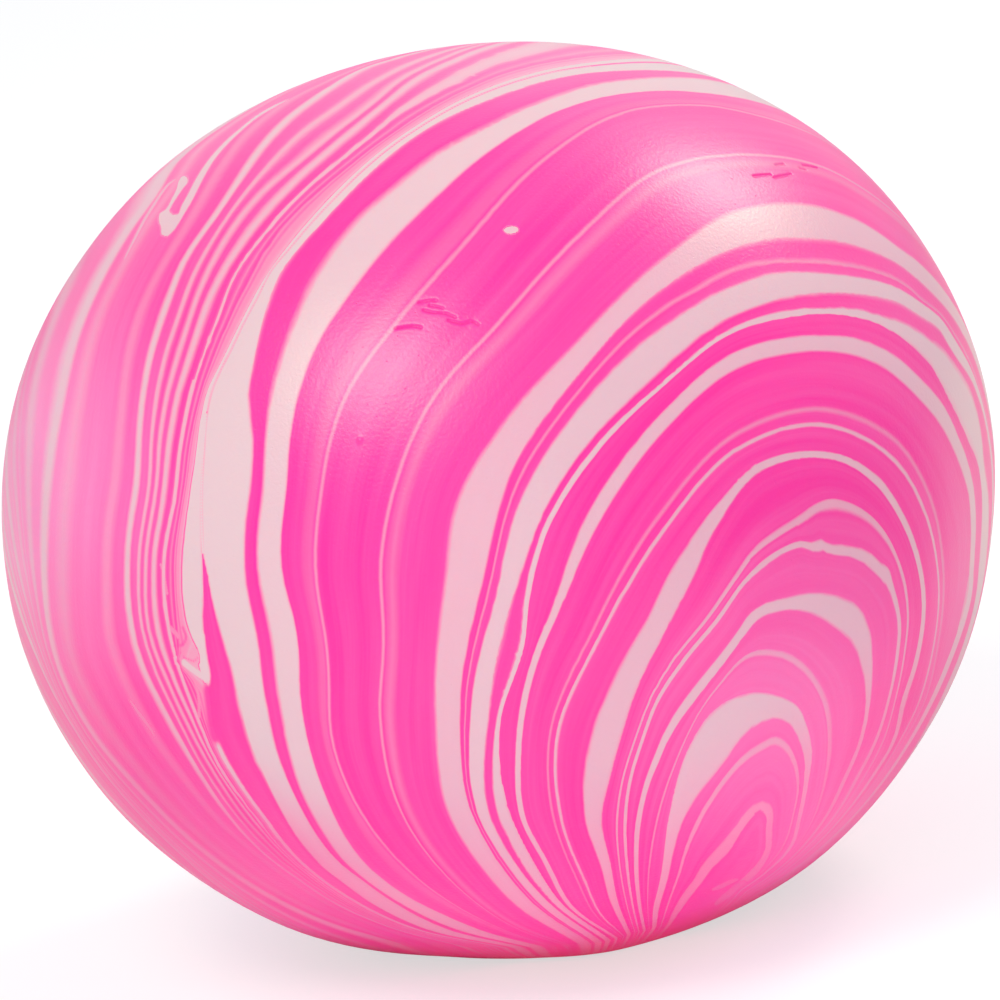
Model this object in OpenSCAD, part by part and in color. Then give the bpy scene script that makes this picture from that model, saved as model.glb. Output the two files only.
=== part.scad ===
// Squishy ball: a soft marbled skin filled with dough and closed by a glued stopper underneath.
// Millimetres, Z up. The origin is the centre of the flat patch that the ball rests on.

/* [Ball] */
// Width across the belly, with the ball sitting
ball_w = 67; // [60:0.5:75]
// Height from the table to the crown, with the ball sitting
ball_h = 59.5; // [53:0.5:67]
// Height of the widest part above the table
belly_h = 28.5; // [25:0.5:32]
// Width of the flat patch that the ball rests on
rest_w = 17; // [16:0.5:24]
// Fullness of the crown: 2 is an ellipse and more is squarer
crown_fullness = 2.1; // [2:0.05:2.4]
// Fullness of the underside
underside_fullness = 1.85; // [1.7:0.05:2.2]

/* [Skin] */
// Thickness of the moulded wall
skin_t = 2.2; // [1.6:0.1:3]
// Width of the fill hole through the neck
hole_d = 5; // [4:0.1:6]
// Wall of the neck around the fill hole
neck_wall = 3.4; // [3:0.1:4]
// Height of the neck above the inside of the wall
neck_h = 5; // [4:0.25:7]
// Radius of the fillet where the neck meets the wall
neck_fillet = 1.5; // [0.8:0.1:2]

/* [Stopper] */
// Radial clearance of the stem in the fill hole
stem_fit = 0.05; // [0.03:0.01:0.1]
// How far the cap reaches past the fill hole
cap_overlap = 2; // [1.6:0.1:2.4]
// Thickness of the cap
cap_t = 1; // [0.8:0.1:1.3]
// Bevel on the cap's outer edge
cap_bevel = 0.25; // [0.1:0.05:0.4]
// Radial clearance of the cap in its seat
cap_fit = 0.2; // [0.1:0.05:0.3]
// How far the cap lies above the table
cap_lift = 0.4; // [0.3:0.1:0.6]
// How far the barb reaches past the fill hole
barb_grip = 1; // [0.6:0.1:1.4]
// Height of the barb's upright rim
barb_rim = 0.4; // [0.2:0.1:0.8]
// Height of the barb, rim and cone
barb_h = 3; // [2:0.25:4]
// Width of the barb's blunt tip
barb_tip_d = 3; // [2:0.1:4]

/* [Adhesive] */
// Thickness of the glue film under the cap
glue_t = 0.3; // [0.2:0.05:0.5]
// How far the film stops short of the cap's rim
glue_margin = 0.3; // [0.2:0.05:0.5]

/* [Filling] */
// Clearance between the filling and what it presses on
fill_gap = 0.2; // [0.1:0.05:0.3]

/* [Hidden] */
$fn = 128;
curve_steps = 36;
fillet_steps = 8;
cut = 0.01;
belly_r = ball_w / 2;
rest_r = rest_w / 2;
hole_r = hole_d / 2;
neck_r = hole_r + neck_wall;
neck_top = skin_t + neck_h;
stem_r = hole_r - stem_fit;
cap_r = hole_r + cap_overlap;
cap_top = cap_lift + cap_t;
seat_r = cap_r + cap_fit;
seat_top = cap_top + glue_t;
barb_r = hole_r + barb_grip;
barb_tip_r = barb_tip_d / 2;
barb_top = neck_top + barb_h;

// One point of a rounded quarter with half-axes rx and rz, moved inwards square to the curve
function quarter_point(rx, rz, fullness, angle, inset) =
    let (
        point = [rx * pow(cos(angle), 2 / fullness), rz * pow(sin(angle), 2 / fullness)],
        outward = [pow(cos(angle), 2 - 2 / fullness) / rx, pow(sin(angle), 2 - 2 / fullness) / rz]
    )
    point - inset * outward / norm(outward);

// Half outline of the sitting ball, from the middle of its flat patch to its crown
function ball_outline(inset) = concat(
    [[0, inset]],
    [for (step = [curve_steps : -1 : 1])
        let (p = quarter_point(belly_r - rest_r, belly_h, underside_fullness, 90 * step / curve_steps, inset))
        [rest_r + p[0], belly_h - p[1]]],
    [for (step = [0 : curve_steps])
        let (p = quarter_point(belly_r, ball_h - belly_h, crown_fullness, 90 * step / curve_steps, inset))
        [p[0], belly_h + p[1]]]
);

// Outline of the barb from its seat on the neck to its tip, grown by the given amount
function barb_outline(grow) = [
    [barb_r + grow, neck_top],
    [barb_r + grow, neck_top + barb_rim + grow],
    [barb_tip_r + grow, barb_top + grow],
    [0, barb_top + grow]
];

module ball_solid(inset) {
    rotate_extrude()
        polygon(ball_outline(inset));
}

// The neck stands inside the skin on a filleted foot that is rooted halfway into the wall
module neck_solid(grow) {
    root = skin_t / 2;
    side_r = neck_r + grow;
    foot_top = skin_t + grow;
    fillet_r = neck_fillet - grow;
    rotate_extrude()
        polygon(concat(
            [[0, root], [side_r + fillet_r, root]],
            [for (step = [0 : fillet_steps])
                let (angle = 90 * step / fillet_steps)
                [side_r + fillet_r * (1 - sin(angle)), foot_top + fillet_r * (1 - cos(angle))]],
            [[side_r, neck_top + grow], [0, neck_top + grow]]
        ));
}

// Moulded rubber skin, with its fill neck and the seat for the stopper's cap
module skin() {
    color([0.93, 0.2, 0.55])
        difference() {
            union() {
                difference() {
                    ball_solid(0);
                    ball_solid(skin_t);
                }
                neck_solid(0);
            }
            translate([0, 0, -cut])
                cylinder(h = neck_top + 2 * cut, r = hole_r);
            translate([0, 0, -cut])
                cylinder(h = seat_top + cut, r = seat_r);
        }
}

// Dough that fills the skin and closes around the neck and the barb
module filling() {
    color([0.95, 0.9, 0.88])
        difference() {
            ball_solid(skin_t + fill_gap);
            neck_solid(fill_gap);
            rotate_extrude()
                polygon(concat([[0, neck_top]], barb_outline(fill_gap)));
        }
}

// Rubber stopper: a cap, a stem that fills the hole and a barb that holds behind the neck
module stopper() {
    color([0.96, 0.62, 0.76])
        rotate_extrude()
            polygon(concat(
                [
                    [0, cap_lift],
                    [cap_r - cap_bevel, cap_lift],
                    [cap_r, cap_lift + cap_bevel],
                    [cap_r, cap_top],
                    [stem_r, cap_top],
                    [stem_r, neck_top]
                ],
                barb_outline(0)
            ));
}

// Film of glue between the stopper's cap and its seat
module stopper_glue() {
    color([0.9, 0.85, 0.75])
        translate([0, 0, cap_top])
            difference() {
                cylinder(h = glue_t, r = cap_r - glue_margin);
                translate([0, 0, -cut])
                    cylinder(h = glue_t + 2 * cut, r = hole_r);
            }
}

skin();
filling();
stopper();
stopper_glue();
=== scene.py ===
from math import atan2, cos, hypot, pi, radians, sin

import bpy
import numpy as np
from mathutils import Matrix, Vector
from mathutils.bvhtree import BVHTree
from mathutils.geometry import delaunay_2d_cdt
from mathutils.kdtree import KDTree


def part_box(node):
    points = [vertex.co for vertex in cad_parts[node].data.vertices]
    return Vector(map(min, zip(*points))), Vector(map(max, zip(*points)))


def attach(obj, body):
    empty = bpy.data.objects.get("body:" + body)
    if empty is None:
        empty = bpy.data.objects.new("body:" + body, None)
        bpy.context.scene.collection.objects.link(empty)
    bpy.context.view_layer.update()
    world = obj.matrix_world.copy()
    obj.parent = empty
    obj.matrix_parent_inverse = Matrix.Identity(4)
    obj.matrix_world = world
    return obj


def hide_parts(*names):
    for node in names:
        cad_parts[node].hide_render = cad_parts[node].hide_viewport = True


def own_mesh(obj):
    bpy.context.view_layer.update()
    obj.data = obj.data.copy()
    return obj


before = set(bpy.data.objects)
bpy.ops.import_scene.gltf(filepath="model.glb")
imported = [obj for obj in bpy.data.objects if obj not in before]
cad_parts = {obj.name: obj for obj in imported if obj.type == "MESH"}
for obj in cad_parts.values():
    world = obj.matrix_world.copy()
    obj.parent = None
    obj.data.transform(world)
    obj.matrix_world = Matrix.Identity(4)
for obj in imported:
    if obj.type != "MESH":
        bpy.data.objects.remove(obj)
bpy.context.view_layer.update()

# The view: a long lens looks 15 degrees down on the sitting ball, and the picture leans to the left.
# The ball fills the square picture, and its middle lies a little above the picture's own middle.
photo_px = 1000
photo_middle_px = Vector((498.5, 491.7))
photo_belly_px = 499
view_down = radians(15)
view_roll = radians(9.44)
view_distance = 0.6
sensor_mm = 36
ball_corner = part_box("skin")[1]
ball_h = ball_corner.z
belly_r = ball_corner.x
px_size = belly_r / photo_belly_px
level_up = Vector((0, sin(view_down), cos(view_down)))
view_back = Vector((0, -cos(view_down), sin(view_down)))
view_right = Vector((cos(view_roll), 0, 0)) - sin(view_roll) * level_up
view_up = Vector((sin(view_roll), 0, 0)) + cos(view_roll) * level_up
aim_px = Vector((photo_px / 2, photo_px / 2)) - photo_middle_px
view_aim = Vector((0, 0, ball_h / 2)) + px_size * (aim_px.x * view_right - aim_px.y * view_up)
view_eye = view_aim + view_distance * view_back

bpy.ops.object.select_all(action="DESELECT")
bpy.ops.object.camera_add()
camera = bpy.context.object
camera.matrix_world = Matrix((
    (view_right.x, view_up.x, view_back.x, view_eye.x),
    (view_right.y, view_up.y, view_back.y, view_eye.y),
    (view_right.z, view_up.z, view_back.z, view_eye.z),
    (0, 0, 0, 1),
))
camera.data.sensor_width = sensor_mm
camera.data.lens = sensor_mm * view_distance / (photo_px * px_size)
bpy.context.scene.camera = camera

# The skin is a hollow ball of soft rubber, cast in one go from pink and pale rubber that ran together.
# The dough inside weighs it down, so it sags wider than it is high and sits on a flat patch.
# Underneath it has a seat for the stopper's cap, and a neck stands inside around the fill hole.
belly_h = 0.0285
rest_r = 0.0085
crown_fullness = 2.1
underside_fullness = 1.85
skin_t = 0.0022
seat_r = 0.0047
seat_top = 0.0017
hole_r = 0.0025
neck_r = 0.0059
neck_top = 0.0072
neck_fillet = 0.0015
around = 256
rings = 96
patch_share = radians(12)
tiny = 1e-6
weld_gap = 0.000002


def quarter_point(half_w, half_h, fullness, angle, inset):
    """A point of a rounded quarter, moved inwards square to the curve."""
    bend = 2 / fullness
    outward = Vector((cos(angle) ** (2 - bend) / half_w, sin(angle) ** (2 - bend) / half_h)).normalized()
    return Vector((half_w * cos(angle) ** bend, half_h * sin(angle) ** bend)) - inset * outward


def ball_station(rise, inset):
    """Radius and height of the ball's outline, from -90 degrees under the ball to 90 at its crown."""
    if rise >= 0:
        station = quarter_point(belly_r, ball_h - belly_h, crown_fullness, min(rise, pi / 2 - tiny), inset)
        return station.x, belly_h + station.y
    under = -rise * (pi / 2) / (pi / 2 - patch_share)
    if under < pi / 2:
        station = quarter_point(belly_r - rest_r, belly_h, underside_fullness, under, inset)
        return rest_r + station.x, belly_h - station.y
    return rest_r * (pi / 2 + rise) / patch_share, inset


def select_near(mesh_object, place, reach):
    """Selects the faces whose middle lies within reach of a place, in object mode."""
    for face in mesh_object.data.polygons:
        face.select = (face.center - place).length < reach


def start_ring(stations, sides):
    """A ring at the first station of an outline, in edit mode, with its place in its mesh."""
    radius, height = stations[0]
    bpy.ops.object.select_all(action="DESELECT")
    bpy.ops.mesh.primitive_circle_add(vertices=sides, radius=radius, location=(0, 0, height))
    bpy.ops.object.transform_apply(location=True)
    bpy.ops.object.mode_set(mode="EDIT")
    return bpy.context.object


def draw_rings(stations):
    """Extrudes the selected ring through the radius and height of each station of an outline."""
    for (radius, height), (next_radius, next_height) in zip(stations, stations[1:]):
        bpy.ops.mesh.extrude_region_move(TRANSFORM_OT_translate={"value": (0, 0, next_height - height)})
        grow = next_radius / radius
        bpy.ops.transform.resize(value=(grow, grow, 1))


def draw_crown(stations, top):
    """Draws the selected ring from the last station of an outline up to one point at the crown."""
    bpy.ops.mesh.extrude_region_move(TRANSFORM_OT_translate={"value": (0, 0, top - stations[-1][1])})
    bpy.ops.mesh.merge(type="CENTER")


bpy.ops.object.select_all(action="DESELECT")
bpy.ops.mesh.primitive_uv_sphere_add(segments=around, ring_count=rings, radius=1)
skin = bpy.context.object
skin.name = "marbled_skin"
for vertex in skin.data.vertices:
    out = hypot(vertex.co.x, vertex.co.y)
    radius, height = ball_station(atan2(vertex.co.z, out), 0)
    turn = Vector((vertex.co.x, vertex.co.y)) / out if out > tiny else Vector((0, 0))
    vertex.co = (radius * turn.x, radius * turn.y, height)

# The seat's opening is cut out of the flat patch, and its rim is drawn to the seat's own radius
bpy.ops.object.mode_set(mode="EDIT")
bpy.ops.mesh.select_all(action="DESELECT")
bpy.ops.object.mode_set(mode="OBJECT")
select_near(skin, Vector((0, 0, 0)), seat_r)
bpy.ops.object.mode_set(mode="EDIT")
bpy.ops.mesh.delete(type="FACE")
bpy.ops.mesh.select_mode(type="VERT")
bpy.ops.mesh.select_non_manifold()
bpy.ops.object.mode_set(mode="OBJECT")
rim_r = max(hypot(v.co.x, v.co.y) for v in skin.data.vertices if v.select)
bpy.ops.object.mode_set(mode="EDIT")
bpy.ops.transform.resize(value=(seat_r / rim_r, seat_r / rim_r, 1))
bpy.ops.object.mode_set(mode="OBJECT")

# Inside of the skin, drawn ring by ring from the seat through the bore and the neck to the inner crown
inner_steps = 14
fillet_steps = 4
foot_rise = patch_share - pi / 2


def inside_stations(inset, foot_r, fillet, steps):
    """Stations around the foot of the neck and along the inside of the ball, almost to its crown."""
    stations = []
    for step in range(fillet_steps, -1, -1):
        lean = pi / 2 * step / fillet_steps
        stations.append((foot_r + fillet * (1 - sin(lean)), inset + fillet * (1 - cos(lean))))
    for step in range(steps):
        stations.append(ball_station(foot_rise + (pi / 2 - foot_rise) * step / steps, inset))
    return stations


inner_outline = [(seat_r, 0), (seat_r, seat_top), (hole_r, seat_top), (hole_r, neck_top), (neck_r, neck_top)]
inner_outline += inside_stations(skin_t, neck_r, neck_fillet, inner_steps)
start_ring(inner_outline, around)
draw_rings(inner_outline)
draw_crown(inner_outline, ball_h - skin_t)
bpy.ops.object.mode_set(mode="OBJECT")
skin.select_set(True)
bpy.context.view_layer.objects.active = skin
bpy.ops.object.join()
bpy.ops.object.mode_set(mode="EDIT")
bpy.ops.mesh.select_all(action="SELECT")
bpy.ops.mesh.remove_doubles(threshold=weld_gap)
bpy.ops.mesh.normals_make_consistent(inside=False)
bpy.ops.object.mode_set(mode="OBJECT")


def on_skin(pixel):
    """The place on the skin that a pixel of the photograph shows, or None past its edge."""
    across, down = (px_size * (float(value) - photo_px / 2) for value in pixel)
    offset = across * view_right - down * view_up
    hit, place, _, _ = skin.ray_cast(view_eye, (view_aim + offset - view_eye).normalized())
    return place if hit else None


# The dough has settled unevenly: the skin lies in a little below and at the sides, and stands out above.
# Each spot has the pixel of its middle, how far the skin moves out there and how far the move reaches.
settled = {
    "under_front": ((420, 958), -0.0011, 0.014),
    "lower_left": ((262, 900), -0.0008, 0.016),
    "right_side": ((988, 540), -0.0006, 0.014),
    "lower_right": ((918, 735), -0.0005, 0.014),
    "left_shoulder": ((88, 262), -0.0003, 0.012),
    "upper_right": ((835, 165), 0.0002, 0.012),
}
settle_edge = 0.004
belly_middle = Vector((0, 0, belly_h))
settle_places = [(on_skin(pixel), move, reach) for pixel, move, reach in settled.values()]
outward = [vertex.normal.copy() for vertex in skin.data.vertices]
for vertex, way in zip(skin.data.vertices, outward):
    start = vertex.co.copy()
    free = min(1, max(0, (hypot(start.x, start.y) - rest_r) / settle_edge))
    if way.dot(start - belly_middle) > 0:
        for middle, move, reach in settle_places:
            near = max(0, 1 - (start - middle).length_squared / reach ** 2)
            vertex.co += move * near ** 2 * free * way

# Streaks are the contour lines of a relief over the skin: each line below has one height all along.
# The points are read from the photograph, from where the line goes over the edge to the stopper.
streak_lines = {
    "rim": (44, [
        (228, 122), (200, 141), (177, 160), (151, 200), (129, 230), (105, 270), (75, 340), (61, 400),
        (48, 480), (44, 540), (45, 600), (52, 645), (60, 672), (75, 705), (97, 740), (140, 790),
        (200, 848), (260, 890), (330, 924), (400, 944)]),
    "veil_left": (112, [
        (330, 80), (290, 100), (262, 120), (240, 141), (222, 165), (207, 190), (190, 220), (175, 245),
        (160, 270), (150, 290), (140, 312), (133, 335), (127, 365), (123, 400), (119, 440), (115, 480),
        (109, 520), (107, 560), (107, 600), (110, 640), (120, 670), (136, 705), (156, 740), (185, 780),
        (216, 818), (250, 849), (290, 880), (320, 900), (376, 927), (455, 948)]),
    "thread_1": (130, [
        (400, 57), (360, 70), (320, 95), (280, 127), (262, 147), (245, 172), (230, 195), (215, 217),
        (200, 237), (185, 260), (172, 292), (160, 325), (150, 360), (143, 400), (138, 480), (128, 560),
        (130, 610), (143, 665), (158, 697), (180, 738), (203, 777), (226, 811), (260, 850), (300, 880),
        (330, 900), (385, 925), (470, 948)]),
    "thread_2": (143, [
        (455, 49), (440, 53.5), (420, 60.5), (380, 80), (340, 106), (300, 135), (270, 165), (240, 200),
        (212, 242), (192, 280), (180, 312), (166, 355), (157, 395), (152, 440), (150, 480), (139, 560),
        (145, 640), (153, 665), (176, 715), (200, 762), (236, 815), (268, 850), (306, 880), (336, 900),
        (389, 925), (478, 948)]),
    "thread_3": (150, [
        (472, 49), (455, 54), (435, 62), (400, 80), (370, 105), (340, 128), (300, 161), (262, 192),
        (238, 220), (213, 261), (198, 295), (182, 344), (167, 398), (160, 440), (157, 480), (146, 560),
        (151, 640), (161, 665), (183, 715), (207, 760), (243, 815), (275, 850), (311, 880), (341, 900),
        (392, 925), (484, 948)]),
    "thread_4": (158, [
        (492, 48), (472, 53), (450, 62), (420, 77), (380, 108), (340, 141), (300, 176), (262, 216),
        (232, 257), (210, 297), (190, 355), (176, 402), (168, 450), (164, 490), (154, 560), (160, 640),
        (168, 665), (190, 715), (212, 760), (250, 815), (280, 850), (315, 880), (344, 900), (395, 925),
        (490, 948)]),
    "thread_5_outer": (165, [
        (522, 48), (500, 52), (480, 60.5), (460, 70), (440, 82), (420, 93.5), (410, 101), (400, 108),
        (370, 134), (340, 158.5), (300, 193.5), (262, 235.5), (235, 273.5), (217, 318.5), (201, 361),
        (187, 404.5), (178.5, 450), (174.5, 490), (162.5, 560), (169.5, 640), (176.5, 665),
        (194.5, 715.5), (216.5, 764.5), (252.8, 815.6), (283, 850.6), (317.3, 880.5), (346.5, 900.3),
        (397.5, 925.3), (495, 948.2)]),
    "thread_5_inner": (169, [
        (522, 58), (500, 65), (480, 73), (460, 83), (440, 92), (424, 101), (411, 108.5), (400, 114.5),
        (370, 138), (340, 161.5), (300, 196.5), (262, 238.5), (235, 276.5), (217.5, 321.5),
        (201.5, 363), (189.5, 405.5), (181.5, 450), (177.5, 490), (165.5, 560), (172.5, 640),
        (179.5, 665), (197.5, 714.5), (219.5, 763.5), (255.2, 814.4), (285, 849.4), (318.7, 879.5),
        (347.5, 899.7), (398.5, 924.7), (497, 947.8)]),
    "veil_outer": (176, [
        (590, 57), (540, 64), (500, 75), (460, 92), (420, 115), (380, 142), (340, 173), (300, 208),
        (270, 242), (250, 277), (230, 317), (212, 360), (199, 400), (190, 440), (185, 480), (174, 560),
        (175, 600), (177, 630), (178.3, 650), (178, 660), (182, 669.5), (190, 681), (197, 696),
        (203.5, 720), (213, 746), (235, 783), (258, 816), (286, 851), (320, 880), (349, 900),
        (400, 925), (500, 948)]),
    "broad_outer": (182, [
        (600, 60), (540, 71), (500, 83), (460, 100), (420, 123), (380, 151), (340, 187), (320, 208),
        (290, 243), (262, 282), (240, 323), (220, 364), (208, 388), (200, 420), (196, 450), (190, 490),
        (181, 560), (182, 605), (187, 628), (193, 642), (197.5, 650), (199.3, 657), (198.8, 662.5),
        (195, 665.3), (190, 664), (185.5, 661.6), (181.8, 661.3), (182.5, 664.5), (187, 668.5),
        (192, 673.5), (198, 679), (203, 682.6), (206.5, 684), (207.9, 690), (209.6, 703), (213, 730),
        (216.5, 746), (238.5, 785), (262, 817), (289, 852), (322, 881), (351, 900), (402, 925),
        (504, 948)]),
    "cleft_left": (196, [
        (606, 63), (540, 74), (500, 86), (460, 103), (420, 126), (380, 154.5), (360, 172), (333, 199),
        (310, 223.5), (290, 247), (270, 271.5), (257, 297), (243, 323), (230, 350), (219, 371.5),
        (211, 391), (206, 415), (203, 450), (201.2, 490), (201.5, 530), (202.5, 557), (203.5, 590),
        (203.8, 630), (205, 645), (207, 660), (209.3, 672), (209.8, 678), (209, 683), (208.6, 690),
        (210.2, 703), (213.6, 730), (220, 746), (242, 784.5), (265.5, 817), (292.5, 852), (325.5, 881),
        (354.5, 900), (406, 925), (508, 948)]),
    "cleft_right": (214, [
        (607, 64.3), (541, 75.3), (501, 87.3), (461, 104.3), (421, 127.3), (381, 155.8), (361, 173.3),
        (334.2, 200), (311.2, 224.5), (291.2, 248), (271.2, 272.2), (258.2, 297.6), (244.2, 323.5),
        (231.2, 350.5), (220.1, 372), (211.8, 391.3), (206.6, 415.1), (203.5, 450), (201.6, 490),
        (201.9, 530), (203.2, 556), (206, 568), (212, 600), (222, 637), (231, 664), (239, 700),
        (249, 740), (274, 795), (300, 840), (318, 862), (345, 884), (370, 902), (415, 925), (514, 948)]),
    "broad_inner": (247, [
        (640, 69), (580, 74), (540, 82), (480, 103), (440, 121), (400, 147), (360, 182), (325, 219),
        (303, 243), (282, 270), (265, 312), (253, 362), (248, 396), (250, 415), (253, 440), (252, 470),
        (245, 540), (245, 575), (257, 640), (265, 700), (276, 750), (295, 797), (320, 840), (335, 858),
        (362, 880), (395, 903), (436, 925), (526, 948)]),
    "twin_outer": (259, [
        (660, 77), (600, 84), (540, 103), (480, 131), (440, 153), (400, 184), (360, 218), (320, 271),
        (301, 309), (283, 356), (271, 400), (266, 440), (264, 480), (258, 560), (272, 640), (280, 700),
        (303, 795), (328, 840), (343, 860), (362, 877), (400, 903), (444, 925), (532, 948)]),
    "twin_inner": (282, [
        (740, 103), (700, 93), (640, 92), (560, 110), (480, 158), (440, 193), (400, 232), (345, 300),
        (318, 342), (301, 385), (291, 430), (287, 480), (281, 560), (298, 640), (301, 700), (326, 797),
        (347, 840), (360, 858), (400, 892), (440, 913), (480, 930), (545, 947)]),
    "faint_1": (318, [
        (780, 120), (700, 105), (620, 113), (540, 163), (460, 250), (395, 325), (345, 398), (320, 500),
        (315, 560), (328, 660), (333, 745), (360, 810), (420, 880), (500, 928), (556, 947)]),
    "faint_2": (384, [
        (900, 215), (820, 166), (740, 155), (660, 170), (580, 235), (500, 322), (430, 403), (397, 480),
        (381, 560), (384, 640), (380, 720), (400, 810), (450, 880), (520, 930), (568, 946)]),
    "shoulder_outer": (450, [
        (965, 330), (960, 319), (953, 307), (945, 293), (935, 279), (920, 264), (900, 249), (880, 234),
        (860, 222), (840, 213.5), (820, 207), (800, 204), (780, 204), (740, 210), (660, 262),
        (580, 340), (500, 430), (455, 510), (447, 570), (436, 710), (452, 820), (478, 862), (513, 902),
        (580, 945)]),
    "shoulder_inner": (495, [
        (988, 420), (984, 395), (979, 375), (975, 364), (970, 352), (966, 341), (962, 332), (955, 320),
        (948, 310), (940, 301), (930, 290.5), (920, 281), (910, 272.5), (900, 265), (880, 254.5),
        (860, 247), (840, 241.5), (820, 239), (800, 238), (780, 238), (740, 246), (660, 290),
        (580, 372), (510, 475), (485, 570), (460, 700), (475, 820), (497, 860), (532, 902), (592, 944)]),
    "shoulder_thread": (504, [
        (982, 389), (974, 369), (968.5, 359), (963, 349), (957, 339), (951, 329), (941, 315),
        (930, 306), (920, 298.5), (910, 289), (900, 282), (880, 273.5), (860, 268), (840, 265),
        (820, 262.5), (800, 262), (780, 262), (760, 264.5), (740, 269), (700, 288), (660, 311),
        (580, 390), (512, 496), (491, 580), (466, 700), (477.5, 820), (501, 861), (536, 903),
        (593.5, 943.5)]),
    "heavy_outer": (513, [
        (986.5, 420), (983, 400), (977, 380), (972, 370), (966.5, 360), (961, 350), (955, 340),
        (949, 330), (940, 317.5), (930, 309), (920, 302), (910, 295.5), (900, 289.5), (880, 282),
        (860, 278), (840, 275.3), (820, 273.3), (800, 272.3), (780, 273), (740, 284), (660, 330),
        (580, 408), (515, 515), (498, 590), (472, 700), (480, 820), (505, 862), (540, 904), (595, 943)]),
    "heavy_inner": (540, [
        (988, 440), (984.5, 420), (979, 400), (971.5, 380), (965.5, 370), (958.5, 360), (952, 350.5),
        (946, 340), (940, 330), (930, 321.5), (920, 315.5), (910, 309), (900, 303), (880, 297),
        (860, 294), (840, 292.7), (820, 293), (800, 295), (780, 299), (740, 312), (640, 390),
        (560, 483), (520, 575), (490, 700), (491, 820), (514, 862), (546, 900), (602, 942)]),
    "slim_outer": (548, [
        (990, 504), (987.5, 488), (984.5, 468), (982, 440), (979, 420), (974, 400), (966, 380.5),
        (960, 371), (950, 357), (940, 345.5), (930, 338.7), (920, 332), (910, 326), (900, 320.7),
        (890, 318.7), (880, 316.5), (860, 310.3), (840, 309), (820, 308.8), (800, 309.5), (740, 325),
        (660, 385), (598, 443), (543, 528), (525, 598), (521, 638), (496, 725), (498, 815), (521, 862),
        (550, 900), (605, 941)]),
    "slim_inner": (554, [
        (929.5, 720), (940, 700), (949, 680), (957.5, 660), (964.5, 640), (970.5, 620), (975, 600),
        (979, 565), (981, 535), (982, 510), (981, 485), (977, 462), (970, 445), (960, 422), (950, 402),
        (940, 382), (930, 365), (920, 354), (910, 344.5), (900, 337), (890, 330.5), (880, 325),
        (860, 318.7), (840, 315), (820, 314), (800, 316), (740, 330), (660, 389), (602, 447),
        (547, 532), (529, 602), (525, 642), (500, 725), (511, 815), (533, 860), (559, 900), (611, 940)]),
    "arch_1_outer": (585, [
        (753, 897), (779.5, 880), (819, 850), (851, 820), (885, 780), (912, 740), (934.5, 700),
        (952, 660), (966, 620), (971, 600), (974.5, 560), (976, 520), (974, 490), (968, 462),
        (960, 440), (940, 400), (920, 378), (900, 359.3), (880, 346.7), (860, 339.3), (820, 335.3),
        (800, 336), (740, 350), (660, 415), (585, 520), (550, 615), (535, 650), (516, 750), (521, 820),
        (543, 862), (566, 904), (615, 939)]),
    "arch_1_inner": (600, [
        (752.4, 896.5), (778.9, 879.5), (817.9, 849.5), (849.4, 819.5), (882.8, 779.5), (909, 739.5),
        (930, 700), (947, 660), (961, 620), (966.5, 600), (970, 560), (971, 520), (968, 490),
        (958, 460), (940, 424), (920, 400), (900, 380), (880, 365), (860, 356.7), (820, 350.7),
        (800, 352), (740, 367), (660, 435), (595, 530), (557, 615), (541, 652), (521, 750), (526, 820),
        (548, 862), (571, 904), (618, 938)]),
    "arch_2_ghost": (655, [
        (751.7, 896), (778.1, 879), (816.6, 849), (847.3, 819), (879.8, 779), (905.2, 739),
        (925.5, 700), (937, 650), (943, 570), (925, 485), (900, 445), (820, 409), (740, 432),
        (660, 515), (590, 637), (550, 735), (554, 820), (577, 880), (595, 915), (621, 937)]),
    "arch_2": (669, [
        (751, 895.5), (777.3, 878.5), (815.2, 848.5), (845.2, 818.5), (876.8, 778.5), (901, 738.5),
        (919.5, 700), (933, 650), (939, 585), (920, 501), (900, 467), (820, 425), (740, 448),
        (660, 535), (595, 645), (557, 735), (561, 820), (584, 880), (601, 915), (624, 936)]),
    "arch_3_outer": (700, [
        (750.2, 895), (776.4, 878), (813.5, 848), (842.5, 818), (873, 778), (896.5, 738), (906, 700),
        (918, 662), (925, 590), (900, 508), (880, 479), (840, 455), (800, 452), (760, 463), (720, 502),
        (667, 578), (648, 618), (636, 638), (613, 680), (598, 715), (584, 775), (585, 820), (600, 862),
        (612, 905), (627, 935)]),
    "arch_3_inner": (717, [
        (749.6, 894.5), (775.6, 877.5), (812.3, 847.5), (840.7, 817.5), (870.3, 777.5), (893, 737.5),
        (901.5, 700), (913, 665), (921, 590), (895, 511), (878, 487), (840, 461), (800, 458),
        (760, 471), (720, 520), (692, 580), (661, 640), (641, 680), (633, 700), (622, 735), (611, 775),
        (602, 820), (611, 865), (619, 905), (631, 934)]),
    "arch_4": (778, [
        (748.6, 894), (774.6, 877), (810.2, 847), (838, 817), (864.5, 777), (885, 737), (895.5, 700),
        (905, 650), (908, 615), (904, 580), (896, 556), (884, 533), (868, 516), (850, 506), (830, 502),
        (815, 508), (800, 520), (780, 533), (755, 552), (735, 580), (706.5, 620), (674, 660),
        (650.5, 700), (635, 740), (622.5, 780), (617, 820), (620, 870), (628, 910), (635, 933)]),
    "arch_5_outer": (803, [
        (747.8, 893.5), (773.7, 876.5), (808.6, 846.5), (835.5, 816.5), (859.5, 776.5), (879, 737),
        (890, 700), (899, 655), (901, 620), (896, 595), (892.5, 582), (890.5, 573), (886.5, 566),
        (882, 564), (876, 557.5), (868, 551.5), (856, 548), (832, 545), (825, 542.5), (820, 539),
        (816, 541.5), (810, 543), (804, 541.5), (780, 549.5), (763, 560.5), (744.5, 579), (715.5, 619),
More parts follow.
